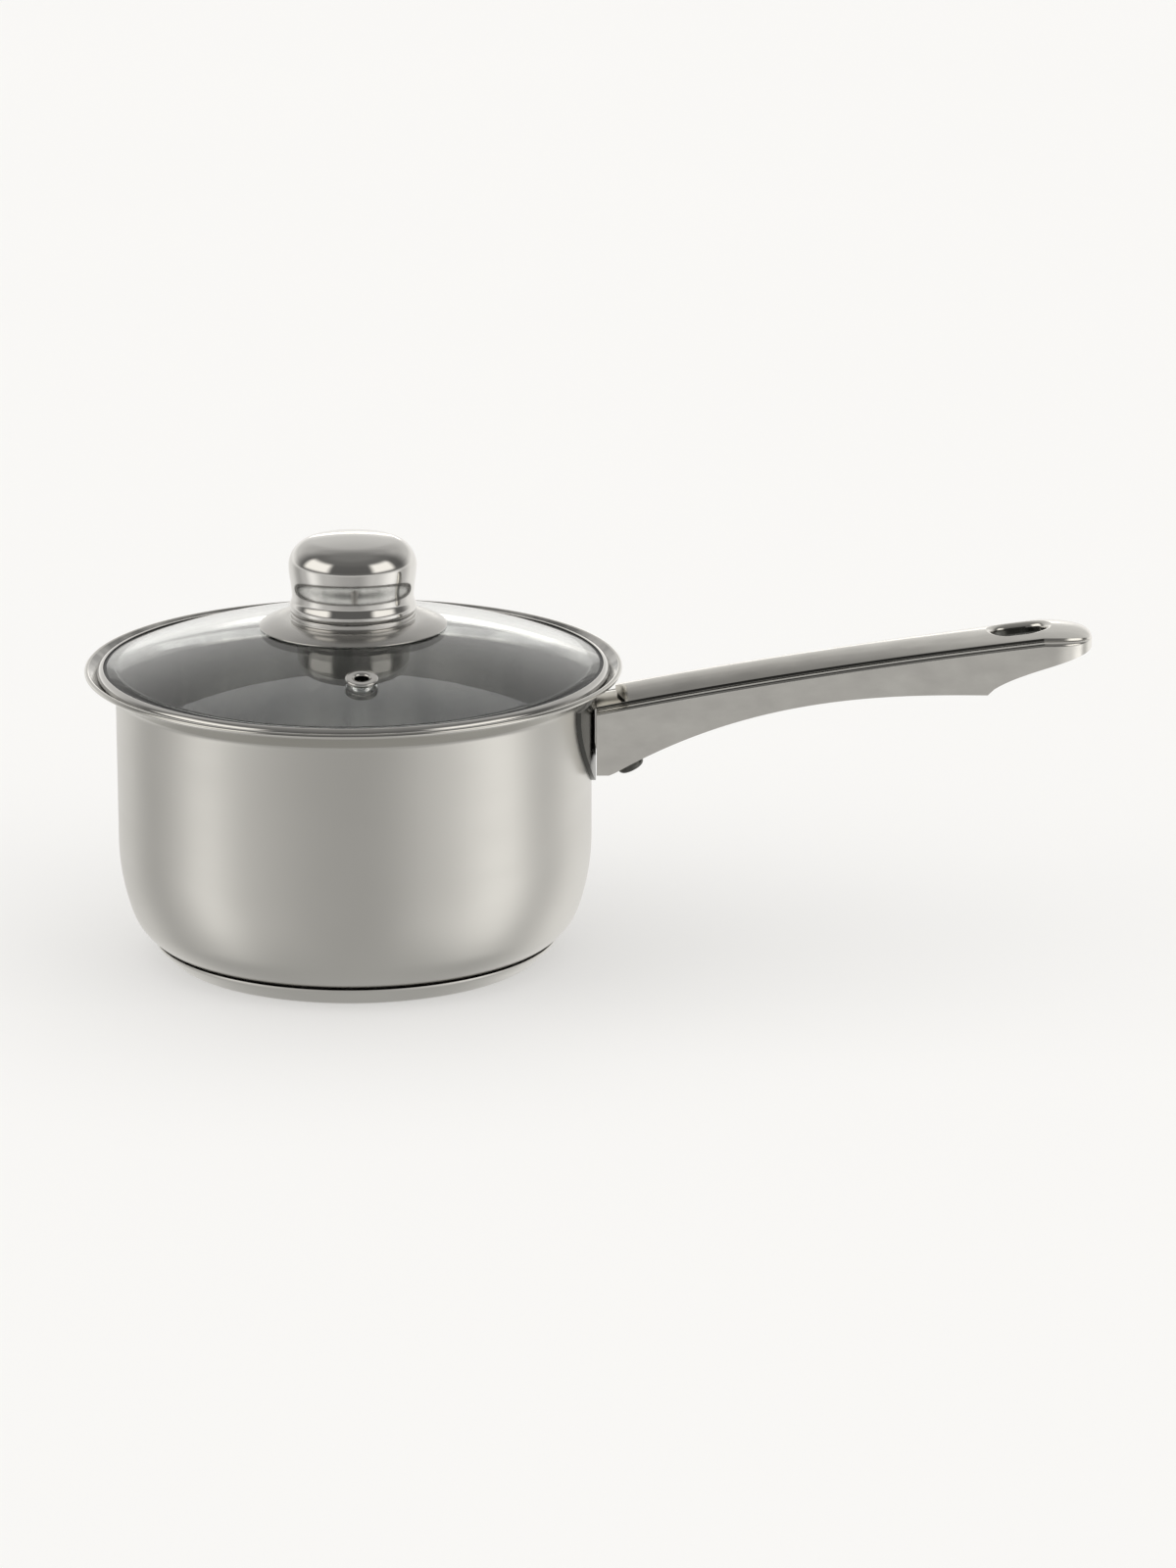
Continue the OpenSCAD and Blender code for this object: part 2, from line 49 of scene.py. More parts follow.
# ------------------------------------------------------------------ sizes, in millimetres
# What the frame's boxes give
base_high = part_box("base_cap")[1]
pan_low, pan_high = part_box("pan_body")
band_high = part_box("lid_band")[1]
glass_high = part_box("lid_glass")[1]
skirt_low, skirt_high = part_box("knob_skirt")
cap_low, cap_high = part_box("knob_cap")
handle_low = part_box("handle_shell")[0]

LIP_R = pan_high.x / MM
# Known fault: the CAD lip ends in a ridge 0.25 mm above its bead, and the box ends on that ridge. So the
# visible flare and handle, which are placed from LIP_TOP, stand 0.25 mm too high.
LIP_TOP = pan_high.z / MM
FLOOR_Z = pan_low.z / MM
HANDLE_X0 = handle_low.x / MM
GLASS_TOP = glass_high.z / MM
BAND_R = band_high.x / MM
SKIRT_R = skirt_high.x / MM
KNOB_R = cap_high.x / MM
KNOB_TOP = cap_high.z / MM
KNOB_FOOT = cap_low.z / MM

# Shapes that the boxes don't give
FLARE_W = 10.4
WALL_R = LIP_R - FLARE_W
WALL_T = 0.5
FLARE_A = radians(38.3)
BEAD_R = 0.9
FLARE_Z = LIP_TOP - BEAD_R - (WALL_T - BEAD_R + (LIP_R - BEAD_R - WALL_R) * sin(FLARE_A)) / cos(FLARE_A)
BELLY_R = 74
BELLY_Z = 41
CORNER_R = 18
GLASS_T = 4
BAND_SECTION_R = 2
BAND_T = 0.5
KNOB_T = 0.8
HANDLE_T = 1.2
HANDLE_LEN = 167.2
HANDLE_W = 27
HANDLE_X1 = HANDLE_X0 + HANDLE_LEN


# ------------------------------------------------------------------ mesh helpers
def arc(c, r, a0, a1, n):
    """Points of an arc about c, from angle a0 to a1 in degrees."""
    angles = [radians(a0 + (a1 - a0) * i / n) for i in range(n + 1)]
    return [(c[0] + r * cos(a), c[1] + r * sin(a)) for a in angles]


def soften(points, steps=5):
    """A polyline whose corners (x, y, radius) are rounded; a corner with no radius stays sharp."""
    out = []
    for i, p in enumerate(points):
        if len(p) < 3 or p[2] == 0 or i in (0, len(points) - 1):
            out.append((p[0], p[1]))
            continue
        c = Vector(p[:2])
        a = Vector(points[i - 1][:2]) - c
        b = Vector(points[i + 1][:2]) - c
        turn = a.angle(b) / 2
        reach = min(p[2] / max(1e-6, abs(sin(turn) / cos(turn))), 0.49 * min(a.length, b.length))
        start = c + a.normalized() * reach
        end = c + b.normalized() * reach
        for k in range(steps + 1):
            s = k / steps
            q = start * (1 - s) ** 2 + c * (2 * s * (1 - s)) + end * s ** 2
            out.append((q.x, q.y))
    return out


def finish_mesh(name, bm, sharp=35):
    """Turns a bmesh in millimetres into a smooth-shaded object in metres."""
    bmesh.ops.remove_doubles(bm, verts=bm.verts, dist=1e-4)
    bmesh.ops.recalc_face_normals(bm, faces=bm.faces)
    bmesh.ops.scale(bm, vec=(MM, MM, MM), verts=bm.verts)
    mesh = bpy.data.meshes.new(name)
    bm.to_mesh(mesh)
    bm.free()
    mesh.shade_smooth()
    mesh.set_sharp_from_angle(angle=radians(sharp))
    obj = bpy.data.objects.new(name, mesh)
    bpy.context.scene.collection.objects.link(obj)
    return obj


def revolve(name, outline, segments=256, sharp=35):
    """A solid of revolution about Z from a closed outline of (radius, height)."""
    bm = bmesh.new()
    rings = []
    for r, z in outline:
        if r < 1e-6:
            rings.append([bm.verts.new((0, 0, z))] * segments)
        else:
            turns = [2 * pi * k / segments for k in range(segments)]
            rings.append([bm.verts.new((r * cos(a), r * sin(a), z)) for a in turns])
    for a, b in zip(rings, rings[1:] + rings[:1]):
        for k in range(segments):
            n = (k + 1) % segments
            corners = list(dict.fromkeys((a[k], a[n], b[n], b[k])))
            if len(corners) > 2:
                bm.faces.new(corners)
    return finish_mesh(name, bm, sharp)


def shell(outer, inner):
    """A closed outline between an outer face and the inner face that follows it."""
    return outer + inner[::-1]


def prism(outline, low, high):
    """A closed upright bar with the given outline, as a bmesh."""
    bm = bmesh.new()
    a = [bm.verts.new((x, y, low)) for x, y in outline]
    b = [bm.verts.new((x, y, high)) for x, y in outline]
    bm.faces.new(a[::-1])
    bm.faces.new(b)
    for i in range(len(a)):
        j = (i + 1) % len(a)
        bm.faces.new((a[i], a[j], b[j], b[i]))
    return bm


def cut(obj, cutter):
    """Takes the cutter away from obj and deletes the cutter."""
    modifier = obj.modifiers.new("cut", "BOOLEAN")
    modifier.object = cutter
    modifier.operation = "DIFFERENCE"
    modifier.solver = "EXACT"
    bpy.context.view_layer.update()
    result = bpy.data.meshes.new_from_object(obj.evaluated_get(bpy.context.evaluated_depsgraph_get()))
    obj.modifiers.clear()
    obj.data = result
    bpy.data.objects.remove(cutter)


def outward(centre, normal):
    """How far a normal leans away from the object's axis, -1 to 1."""
    return (normal.x * centre.x + normal.y * centre.y) / max(1e-6, centre.xy.length)


def finish_faces(obj, finish, chosen):
    """Gives another finish to the faces that chosen(centre in millimetres, normal) picks."""
    obj.data.materials.append(finish)
    index = len(obj.data.materials) - 1
    for face in obj.data.polygons:
        if chosen(face.center / MM, face.normal):
            face.material_index = index


def piece(obj, body, slot, material, *replaced):
    """Gives a new piece its body, finish and the CAD nodes that it stands for; its slot is not used."""
    obj.data.materials.clear()
    obj.data.materials.append(material)
    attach(obj, body)
    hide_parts(*replaced)
    return obj


# ------------------------------------------------------------------ materials
def material(name):
    """An empty material with its node tree, principled shader and object coordinates."""
    m = bpy.data.materials.new(name)
    m.use_nodes = True
    tree = m.node_tree
    shader = tree.nodes["Principled BSDF"]
    place = tree.nodes.new("ShaderNodeTexCoord").outputs["Object"]
    return m, tree, shader, place


def stretched_noise(tree, place, scale, size=1.0, detail=3):
    """Noise stretched by a different scale along each axis."""
    mapping = tree.nodes.new("ShaderNodeMapping")
    mapping.inputs["Scale"].default_value = scale
    noise = tree.nodes.new("ShaderNodeTexNoise")
    noise.inputs["Scale"].default_value = size
    noise.inputs["Detail"].default_value = detail
    tree.links.new(place, mapping.inputs["Vector"])
    tree.links.new(mapping.outputs["Vector"], noise.inputs["Vector"])
    return noise.outputs["Fac"]


def spread(tree, value, low, high):
    """Maps noise from its usual range to low..high."""
    node = tree.nodes.new("ShaderNodeMapRange")
    node.inputs["From Min"].default_value = 0.3
    node.inputs["From Max"].default_value = 0.7
    node.inputs["To Min"].default_value = low
    node.inputs["To Max"].default_value = high
    tree.links.new(value, node.inputs["Value"])
    return node.outputs["Result"]


def tint(tree, value, dark, light):
    """A colour between dark and light, by value."""
    node = tree.nodes.new("ShaderNodeValToRGB")
    node.color_ramp.elements[0].color = (*dark, 1)
    node.color_ramp.elements[0].position = 0.3
    node.color_ramp.elements[1].color = (*light, 1)
    node.color_ramp.elements[1].position = 0.7
    tree.links.new(value, node.inputs["Fac"])
    return node.outputs["Color"]


def bump(tree, shader, value, strength, distance):
    node = tree.nodes.new("ShaderNodeBump")
    node.inputs["Strength"].default_value = strength
    node.inputs["Distance"].default_value = distance
    tree.links.new(value, node.inputs["Height"])
    tree.links.new(node.outputs["Normal"], shader.inputs["Normal"])


def steel(name, dark, light, rough, grain, grain_depth, blotch=(14, 14, 14), anisotropy=0.0, polar=False):
    """Stainless steel: rough is a (low, high) roughness, grain the scale of its brushing along X, Y, Z."""
    m, tree, shader, place = material(name)
    shader.inputs["Metallic"].default_value = 1
    shader.inputs["Anisotropic"].default_value = anisotropy
    lines = stretched_noise(tree, place, grain, 1, 4)
    patches = stretched_noise(tree, place, blotch, 1, 3)
    tree.links.new(tint(tree, patches, dark, light), shader.inputs["Base Color"])
    tree.links.new(spread(tree, lines, *rough), shader.inputs["Roughness"])
    bump(tree, shader, lines, grain_depth, 0.00002)
    if polar:
        tangent = tree.nodes.new("ShaderNodeTangent")
        tangent.direction_type = "RADIAL"
        tangent.axis = "Z"
        tree.links.new(tangent.outputs["Tangent"], shader.inputs["Tangent"])
    return m


# Black silicone for the knob's seals; it also paints the glass's outer edge black as a shade line
def silicone():
    m, tree, shader, place = material("silicone")
    specks = stretched_noise(tree, place, (900, 900, 900), 1, 2)
    tone = tint(tree, specks, (0.045, 0.045, 0.045), (0.065, 0.065, 0.065))
    tree.links.new(tone, shader.inputs["Base Color"])
    tree.links.new(spread(tree, specks, 0.45, 0.6), shader.inputs["Roughness"])
    bump(tree, shader, specks, 0.2, 0.00003)
    return m


def glass():
    m, tree, shader, place = material("clear_glass")
    shader.inputs["Transmission Weight"].default_value = 1
    shader.inputs["IOR"].default_value = 1.5
    haze = stretched_noise(tree, place, (30, 30, 30), 1, 2)
    tone = tint(tree, haze, (0.955, 0.975, 0.968), (0.965, 0.982, 0.976))
    tree.links.new(tone, shader.inputs["Base Color"])
    tree.links.new(spread(tree, haze, 0.0, 0.01), shader.inputs["Roughness"])
    return m


# Each steel has its dark and light tone, its roughness, and the scale and depth of its brushing
wall_steel = steel("pan_steel", (0.66, 0.65, 0.62), (0.71, 0.70, 0.67), (0.28, 0.31), (20, 20, 120), 0.01,
                   anisotropy=0.4, polar=True)
# The inner, groove and shaded steels are darker than bare steel: their dark tones are painted reflection and
# shade.
# They stand for the dark things that the steel mirrors when seen from the front, so they look too dark from
# other sides.
inner_steel_painted_reflection = steel("pan_inner_painted_reflection", (0.18, 0.18, 0.176), (0.68, 0.67, 0.65), (0.1, 0.2), (150, 150, 5),
                    0.1, blotch=(75, 75, 3))
bottom_steel = steel("pan_bottom_steel", (0.56, 0.555, 0.54), (0.66, 0.655, 0.64), (0.2, 0.26), (60, 60, 60),
                     0.02, anisotropy=0.6, polar=True)
lip_steel = steel("pan_lip_steel", (0.66, 0.65, 0.62), (0.72, 0.71, 0.68), (0.07, 0.1), (60, 60, 60), 0.01)
groove_painted_reflection = steel("groove_painted_reflection", (0.06, 0.06, 0.06), (0.09, 0.09, 0.09), (0.2, 0.3), (60, 60, 60), 0.01)
cap_steel = steel("base_steel", (0.66, 0.65, 0.62), (0.70, 0.69, 0.66), (0.3, 0.36), (60, 60, 400), 0.02)
handle_steel = steel("handle_steel", (0.77, 0.755, 0.72), (0.87, 0.855, 0.815), (0.13, 0.2), (260, 420, 420),
                     0.2, blotch=(90, 200, 150))
shade_steel = steel("shaded_steel", (0.10, 0.10, 0.095), (0.15, 0.15, 0.14), (0.2, 0.3), (60, 60, 60), 0.02)
satin_steel = steel("satin_steel", (0.62, 0.61, 0.59), (0.67, 0.66, 0.64), (0.2, 0.26), (60, 60, 60), 0.02)
mirror_steel = steel("polished_steel", (0.70, 0.69, 0.67), (0.74, 0.73, 0.71), (0.06, 0.11), (60, 60, 60),
                     0.02)
plain_steel = steel("fixing_steel", (0.52, 0.52, 0.52), (0.6, 0.6, 0.6), (0.25, 0.38), (300, 300, 300), 0.1)
core_metal = steel("aluminium_core", (0.76, 0.76, 0.77), (0.82, 0.82, 0.83), (0.35, 0.5), (40, 40, 1200),
                   0.15)
rubber_and_painted_shade = silicone()
clear_glass = glass()


# ------------------------------------------------------------------ pan
def pan_shell():
    belly_c = (WALL_R - BELLY_R, BELLY_Z)
    drop = BELLY_Z - FLOOR_Z - CORNER_R
    corner_c = (belly_c[0] + sqrt((BELLY_R - CORNER_R) ** 2 - drop ** 2), FLOOR_Z + CORNER_R)
    belly_a = degrees(atan2(corner_c[1] - belly_c[1], corner_c[0] - belly_c[0]))
    bend_r = 3
    slope = degrees(FLARE_A)
    bead_c = (LIP_R - BEAD_R, LIP_TOP - BEAD_R)

    def face(d):
        # The wall bends into the flare on an arc whose centre lies outside the pan. Known fault: the arc
        # turns through slope, where this bend needs 90 - slope, so the flare lies a little too flat.
        reach = bend_r * sin(FLARE_A / 2) / cos(FLARE_A / 2)
        bend_c = (WALL_R + bend_r, FLARE_Z - reach)
        return ([(0, FLOOR_Z + d), (corner_c[0] * 0.5, FLOOR_Z + d)]
                + arc(corner_c, CORNER_R - d, -90, belly_a, 16)
                + arc(belly_c, BELLY_R - d, belly_a, 0, 24)[1:]
                + [(WALL_R - d, BELLY_Z + (FLARE_Z - BELLY_Z) * k / 6) for k in range(1, 6)]
                + arc(bend_c, bend_r + d, 180, 180 - slope, 10))

    outer = face(0)
    inner = face(WALL_T)
    start = slope + 180 - degrees(asin((BEAD_R - WALL_T) / BEAD_R))
    bead = arc(bead_c, BEAD_R, start, 360 + 90 + slope, 24)
    return revolve("pan_shell", outer + bead + inner[::-1], 288)


def base_cap_shell():
    top = base_high.z / MM
    rim_r = base_high.x / MM
    rim_edge = 2
    edge = 3
    slope = 45
    side = (top - edge + (edge - rim_edge) * sin(radians(slope))) / cos(radians(slope))
    rim_c = (rim_r - rim_edge, top)
    edge_c = (rim_c[0] - side * sin(radians(slope)) - (edge - rim_edge) * cos(radians(slope)),
              rim_c[1] - side * cos(radians(slope)) + (edge - rim_edge) * sin(radians(slope)))

    def face(d):
        return [(0, d)] + arc(edge_c, edge - d, -90, -slope, 10) + arc(rim_c, rim_edge - d, -slope, 0, 8)

    return revolve("base_cap_shell", shell(face(0), face(WALL_T)), 256)


# ------------------------------------------------------------------ lid
BAND_AXIS_R = BAND_R - BAND_SECTION_R
BAND_C = (BAND_AXIS_R, (band_high.z / MM) - BAND_SECTION_R)
DOME_RISE = 15.6
DOME_R = (BAND_AXIS_R ** 2 + DOME_RISE ** 2) / (2 * DOME_RISE)
DOME_A = degrees(asin(BAND_AXIS_R / DOME_R))
DOME_C = GLASS_TOP - DOME_R
EDGE_R = 1.45
VENT_R = BAND_R - 30.9
VENT_TILT = asin(VENT_R / DOME_R)
VENT_AZIMUTH = radians(-85)
VENT = (Matrix.Rotation(VENT_AZIMUTH, 4, "Z") @ Matrix.Translation((0, 0, DOME_C))
        @ Matrix.Rotation(VENT_TILT, 4, "Y") @ Matrix.Translation((0, 0, DOME_R)))


def at_vent(obj):
    """Moves a mesh that is drawn at the origin to the vent, in metres."""
    turn = VENT.copy()
    turn.translation = VENT.translation * MM
    obj.data.transform(turn)


def glass_dome():
    hole_r = 4.05
    vent_hole_r = 3.65
    taper = 5
    inner_a = degrees(asin((BAND_AXIS_R - taper) / (DOME_R - GLASS_T)))
    hole_a = degrees(asin(hole_r / DOME_R))
    hole_b = degrees(asin(hole_r / (DOME_R - GLASS_T)))
    outline = (arc((0, DOME_C), DOME_R, 90 - hole_a, 90 - DOME_A, 60)
               + arc(BAND_C, EDGE_R, 90 - DOME_A, -90 - DOME_A, 16)[1:]
               + arc((0, DOME_C), DOME_R - GLASS_T, 90 - inner_a, 90 - hole_b, 54))
    dome = revolve("lid_glass_dome", outline, 288)
    hole = finish_mesh("vent_hole", prism(arc((0, 0), vent_hole_r, 0, 360, 64)[:-1], -8, 4))
    at_vent(hole)
    cut(dome, hole)
    dome.data.shade_smooth()
    dome.data.set_sharp_from_angle(angle=radians(35))
    return dome


def band_ring():
    edge_r = BAND_T / 2
    high, low = 85, -108

    def edge(angle, a0, a1):
        """The sheet's rounded edge at an angle round the band's section."""
        centre = arc(BAND_C, BAND_SECTION_R - edge_r, angle, angle, 1)[0]
        return arc(centre, edge_r, a0, a1, 6)[1:-1]

    outline = (arc(BAND_C, BAND_SECTION_R, high, low, 40) + edge(low, low, low - 180)
               + arc(BAND_C, BAND_SECTION_R - BAND_T, low, high, 40) + edge(high, high + 180, high))
    return revolve("lid_band_ring", outline, 288)


def eyelet():
    bore, tube, flange, high = 2.35, 3.45, 5.45, 1.35
    clinch_top, clinch_low, clinch_r = -5, -5.85, tube + 0.9
    rest = 0.05
    outline = soften([(tube, 0), (tube, clinch_top), (clinch_r, clinch_top), (clinch_r, clinch_low, 0.3),
                      (bore, clinch_low, 0.3), (bore, high, 1.1), (flange, high, 1.0), (flange, rest, 0.15),
                      (tube, rest)], 6)
    ring = revolve("vent_eyelet_ring", outline, 96)
    at_vent(ring)
    return ring


# ------------------------------------------------------------------ knob
def ease(s):
    """A smooth step from 0 to 1."""
    return (1 - cos(pi * s)) / 2


def knob_cap_shell():
    foot_in, bulge_in, waist_in = 0.6, 0.15, 1.0
    shoulder_r, crown_r = 9, 90
    waist_z, bulge_z = KNOB_FOOT + 5.2, KNOB_FOOT + 1.4
    shoulder_x = KNOB_R - shoulder_r
    shoulder_z = KNOB_TOP - crown_r + sqrt((crown_r - shoulder_r) ** 2 - shoulder_x ** 2)
    crown_a = degrees(asin(shoulder_x / (crown_r - shoulder_r)))

    def face(d):
        r = KNOB_R - d
        foot = [(r - foot_in, KNOB_FOOT), (r - bulge_in, bulge_z - 0.5, 0.6)]
        lower = [(r - bulge_in - (waist_in - bulge_in) * ease(i / 14), bulge_z + (waist_z - bulge_z) * i / 14)
                 for i in range(15)]
        upper = [(r - waist_in * ease(1 - i / 20), waist_z + (shoulder_z - waist_z) * i / 20)
                 for i in range(1, 20)]
        return (soften(foot + lower[:1], 4)[:-1] + lower + upper
                + arc((shoulder_x, shoulder_z), shoulder_r - d, 0, 90 - crown_a, 28)
                + arc((0, KNOB_TOP - crown_r), crown_r - d, 90 - crown_a, 90, 12)[1:])

    return revolve("knob_cap_shell", shell(face(0), face(KNOB_T)), 192)


def knob_skirt_disc():
    seat = KNOB_FOOT - 0.2
    hole = 2.85
    step_r = KNOB_R - 0.6
    step_z = seat - 1.9
    rim_z = skirt_low.z / MM

    def droop(top, r_in, r_out, low):
        return [(r_in + (r_out - r_in) * i / 24, top - (top - low) * (i / 24) ** 2.2) for i in range(25)]

    upper = droop(step_z, step_r + 0.5, SKIRT_R - 0.25, rim_z + 0.55)
    lower = droop(step_z - KNOB_T, step_r - 0.2, SKIRT_R - KNOB_T, rim_z)
    t = KNOB_T
    step = soften([(hole, seat), (step_r, seat, 0.6), (step_r, step_z, 0.5), upper[1]], 5)
    outline = (step[:-1] + upper[1:]
               + [(SKIRT_R - 0.07, rim_z + 0.45), (SKIRT_R, rim_z + 0.3), (SKIRT_R - 0.05, rim_z + 0.1),
                  (SKIRT_R - 0.2, rim_z)]
               + lower[::-1][:-1]
               + [(step_r - t, step_z - t + 0.2), (step_r - t, seat - t), (hole, seat - t)])
    return revolve("knob_skirt_disc", outline, 224)


# ------------------------------------------------------------------ handle
TIP_LEN = 17
TIP_X = HANDLE_X1 - TIP_LEN
TIP_DROP = 4.2
TIP_POWER = 0.77
CREST_Z0 = FLARE_Z - 0.9
CREST_RISE, CREST_BOW = 22.6, 1.8
CROWN_H, CROWN_TIP_H, LEDGE_W = 3.8, 1.6, 3.8
LEDGE_STEP = 0.9
MIN_SIDE = 1.7
HANDLE_FLARE = 7
NOTCH_X = HANDLE_X1 - 35.6
FRONT_H, REAR_H, NOTCH_H = 26.8, 18.6, 6.4
SIDE_Z0 = CREST_Z0 - FRONT_H
SIDE_X0 = HANDLE_X0 + 4.7
MOUTH_BACK, MOUTH_RAKE = 6.4, 4.2
ARCH_STEPS = 14
SLOT_LEN, SLOT_R, SLOT_INSET = 18.5, 6.5, 15.3
SLOT_ROLL = 2
HANDLE_SHARP = 40


def crest_at(x):
    """Height of the handle's crest."""
    s = (x - HANDLE_X0) / (TIP_X - HANDLE_X0)
    return CREST_Z0 + CREST_RISE * s + CREST_BOW * 4 * s * (1 - s)


SIDE_Z1 = crest_at(NOTCH_X) - REAR_H
NOTCH_Z1 = crest_at(TIP_X) - NOTCH_H


def side_at(x):
    """Height of the side wall's lower edge."""
    if x < SIDE_X0:
        return SIDE_Z0
    if x < NOTCH_X:
        return SIDE_Z1 - (SIDE_Z1 - SIDE_Z0) * ((NOTCH_X - x) / (NOTCH_X - SIDE_X0)) ** 2.6
    return SIDE_Z1 + (NOTCH_Z1 - SIDE_Z1) * min(1, (x - NOTCH_X) / (HANDLE_X1 - NOTCH_X)) ** 0.66


def crown(x, k, d=0):
    """Half width, crest height, crown rise and half width of the crown where the section is scaled by k."""
    widen = min(1, ((x - HANDLE_X0) / (TIP_X - HANDLE_X0)) ** 2)
    w = (HANDLE_W / 2 + HANDLE_FLARE / 2 * widen - d) * k
    c = crest_at(min(x, TIP_X)) - TIP_DROP * (1 - k) - d
    rise = (CROWN_H + (CROWN_TIP_H - CROWN_H) * widen) * k
    return w, c, rise, w - LEDGE_W * k


def arch_radius(wc, rise):
    """Radius of the crown's arch, from its half width and rise."""
    return (wc * wc + rise * rise) / (2 * rise)


def handle_row(x, a, d):
    """One section of the handle, at x along it or at angle a round its tip, d inside the outer face."""
    if a is not None:
        x = TIP_X + (TIP_LEN - d) * sin(a) ** TIP_POWER
    k = 1 if a is None else cos(a) ** TIP_POWER
    w, c, rise, wc = crown(x, k, d)
    edge = c - rise
    ledge = edge - LEDGE_STEP * k
    r = arch_radius(wc, rise)
    arch = arc((0, c - r), r, 90 - degrees(asin(wc / r)), 90, ARCH_STEPS)
    foot = min(side_at(x), ledge - MIN_SIDE * k)
    side = soften([(w, foot), (w, ledge, 1.4 * k), (wc + 0.4 * k, ledge, 0.2 * k), (wc, edge, 0.25 * k),
                   arch[1]], 5)
    wall = [(w, foot + (side[1][1] - foot) * i / 4) for i in range(4)]
    half = wall + side[1:-1] + arch[1:]
    return [(x, y, z) for y, z in half] + [(x, -y, z) for y, z in half[-2::-1]]


def crown_top(x, y):
    """Height of the crown's outer face at (x, y)."""
    k = 1 if x <= TIP_X else cos(asin(((x - TIP_X) / TIP_LEN) ** (1 / TIP_POWER))) ** TIP_POWER
    w, c, rise, wc = crown(x, k)
    r = arch_radius(wc, rise)
    return c - r + sqrt(r * r - y * y)


def handle_surface(d):
    """Rows of points along the handle, d inside its outer face."""
    rows, tip_rows, tip_a = 72, 24, radians(84)
    section = handle_row(HANDLE_X0 + 8, None, d)
    middle = len(section) // 2
    starts = []
    for j, (x, y, z) in enumerate(section):
        # Crown lines start at the raked mouth, and the others at the handle's front edge
        rake = max(0, min(1, (CREST_Z0 + 1 - z) / CROWN_H))
        on_crown = abs(j - middle) <= ARCH_STEPS
        starts.append(HANDLE_X0 + (MOUTH_BACK + MOUTH_RAKE * rake if on_crown else 0))
    grid = []
    for i in range(rows + 1):
        along = [start + (TIP_X - start) * i / rows for start in starts]
        grid.append([handle_row(x, None, d)[j] for j, x in enumerate(along)])
    return grid + [handle_row(None, tip_a * i / tip_rows, d) for i in range(1, tip_rows + 1)]


def handle_sheet():
    """The stamped sheet, closed at its tip and open below."""
    bm = bmesh.new()
    out, ins = [[[bm.verts.new(p) for p in row] for row in handle_surface(d)] for d in (0, HANDLE_T)]
    last = len(out) - 1
    width = len(out[0])
    for i in range(last):
        for j in range(width - 1):
            bm.faces.new((out[i][j], out[i][j + 1], out[i + 1][j + 1], out[i + 1][j]))
            bm.faces.new((ins[i][j], ins[i + 1][j], ins[i + 1][j + 1], ins[i][j + 1]))
        for j in (0, width - 1):
            bm.faces.new((out[i][j], out[i + 1][j], ins[i + 1][j], ins[i][j]))
    for j in range(width - 1):
        bm.faces.new((out[0][j], ins[0][j], ins[0][j + 1], out[0][j + 1]))
    # The tip closes over the last section, and the sheet's lower edge joins the two faces
    for grid in (out, ins):
        row = grid[last]
        for j in range(width // 2):
            corners = list(dict.fromkeys((row[j], row[j + 1], row[width - 2 - j], row[width - 1 - j])))
            bm.faces.new(corners)
    bm.faces.new((out[last][0], out[last][width - 1], ins[last][width - 1], ins[last][0]))
    return finish_mesh("handle_skin", bm, HANDLE_SHARP)


def stadium(grow):
    """The hanging slot's outline, grown outwards."""
    far = HANDLE_X1 - SLOT_INSET - SLOT_R
    near = HANDLE_X1 - SLOT_INSET - SLOT_LEN + SLOT_R
    r = SLOT_R + grow
    along = [near + (far - near) * i / 6 for i in range(1, 6)]
    return (arc((far, 0), r, -90, 90, 24) + [(x, r) for x in along[::-1]]
            + arc((near, 0), r, 90, 270, 24) + [(x, -r) for x in along])


def slot_rim():
    """The rim of the hanging slot, rolled down from the crown."""
    steps = 8
    turns = [radians(90 * i / steps) for i in range(steps + 1)]
    section = [(SLOT_ROLL - SLOT_ROLL * sin(a), SLOT_ROLL * (1 - cos(a))) for a in turns]
    section += [(0, SLOT_ROLL + 1.4), (0.25, SLOT_ROLL + 1.65), (1.0, SLOT_ROLL + 1.4),
                (1.0, SLOT_ROLL + 0.4), (SLOT_ROLL, 1.1)]
    edge = stadium(SLOT_ROLL)
    bm = bmesh.new()
    rings = [[bm.verts.new((*p, crown_top(*q) - fall)) for p, q in zip(stadium(grow), edge)]
             for grow, fall in section]
    for a, b in zip(rings, rings[1:] + rings[:1]):
        for k in range(len(edge)):
            n = (k + 1) % len(edge)
            bm.faces.new((a[k], a[n], b[n], b[k]))
    return finish_mesh("slot_rim", bm, HANDLE_SHARP)


def handle_skin():
    """The handle's sheet with its hanging slot."""
    skin = handle_sheet()
    cut(skin, finish_mesh("slot_hole", prism(stadium(SLOT_ROLL - 0.05), SIDE_Z1, KNOB_TOP)))
    rim = slot_rim()
    joined = bmesh.new()
    joined.from_mesh(skin.data)
    joined.from_mesh(rim.data)
    joined.to_mesh(skin.data)
    joined.free()
    bpy.data.objects.remove(rim)
    skin.data.shade_smooth()
    skin.data.set_sharp_from_angle(angle=radians(HANDLE_SHARP))
    return skin


# ------------------------------------------------------------------ where each finish goes
def on_inside(centre, normal):
    """The pan's faces that look towards its axis or up."""
    return outward(centre, normal) < -0.05 or normal.z > 0.5


def on_bottom(centre, normal):
    """The pan's floor, inside."""
    return normal.z > 0.7 and centre.z < BELLY_Z


def in_groove(centre, normal):
    """The flare's inner face between the lid's band and the lip, painted near-black as a dark reflection."""
    beside_lid = BAND_R - 1.5 < centre.xy.length < LIP_R - 1.9
    return beside_lid and centre.z > FLARE_Z and outward(centre, normal) < -0.05 and normal.z > 0.3


def on_lip(centre, normal):
    """The rolled bead."""
    return centre.xy.length > LIP_R - 1.95


def on_glass_rim(centre, normal):
    """The glass's outer edge, painted black as a shade line beside the band; no ring is modelled there."""
    return centre.xy.length > BAND_AXIS_R - 0.9 and normal.z > 0


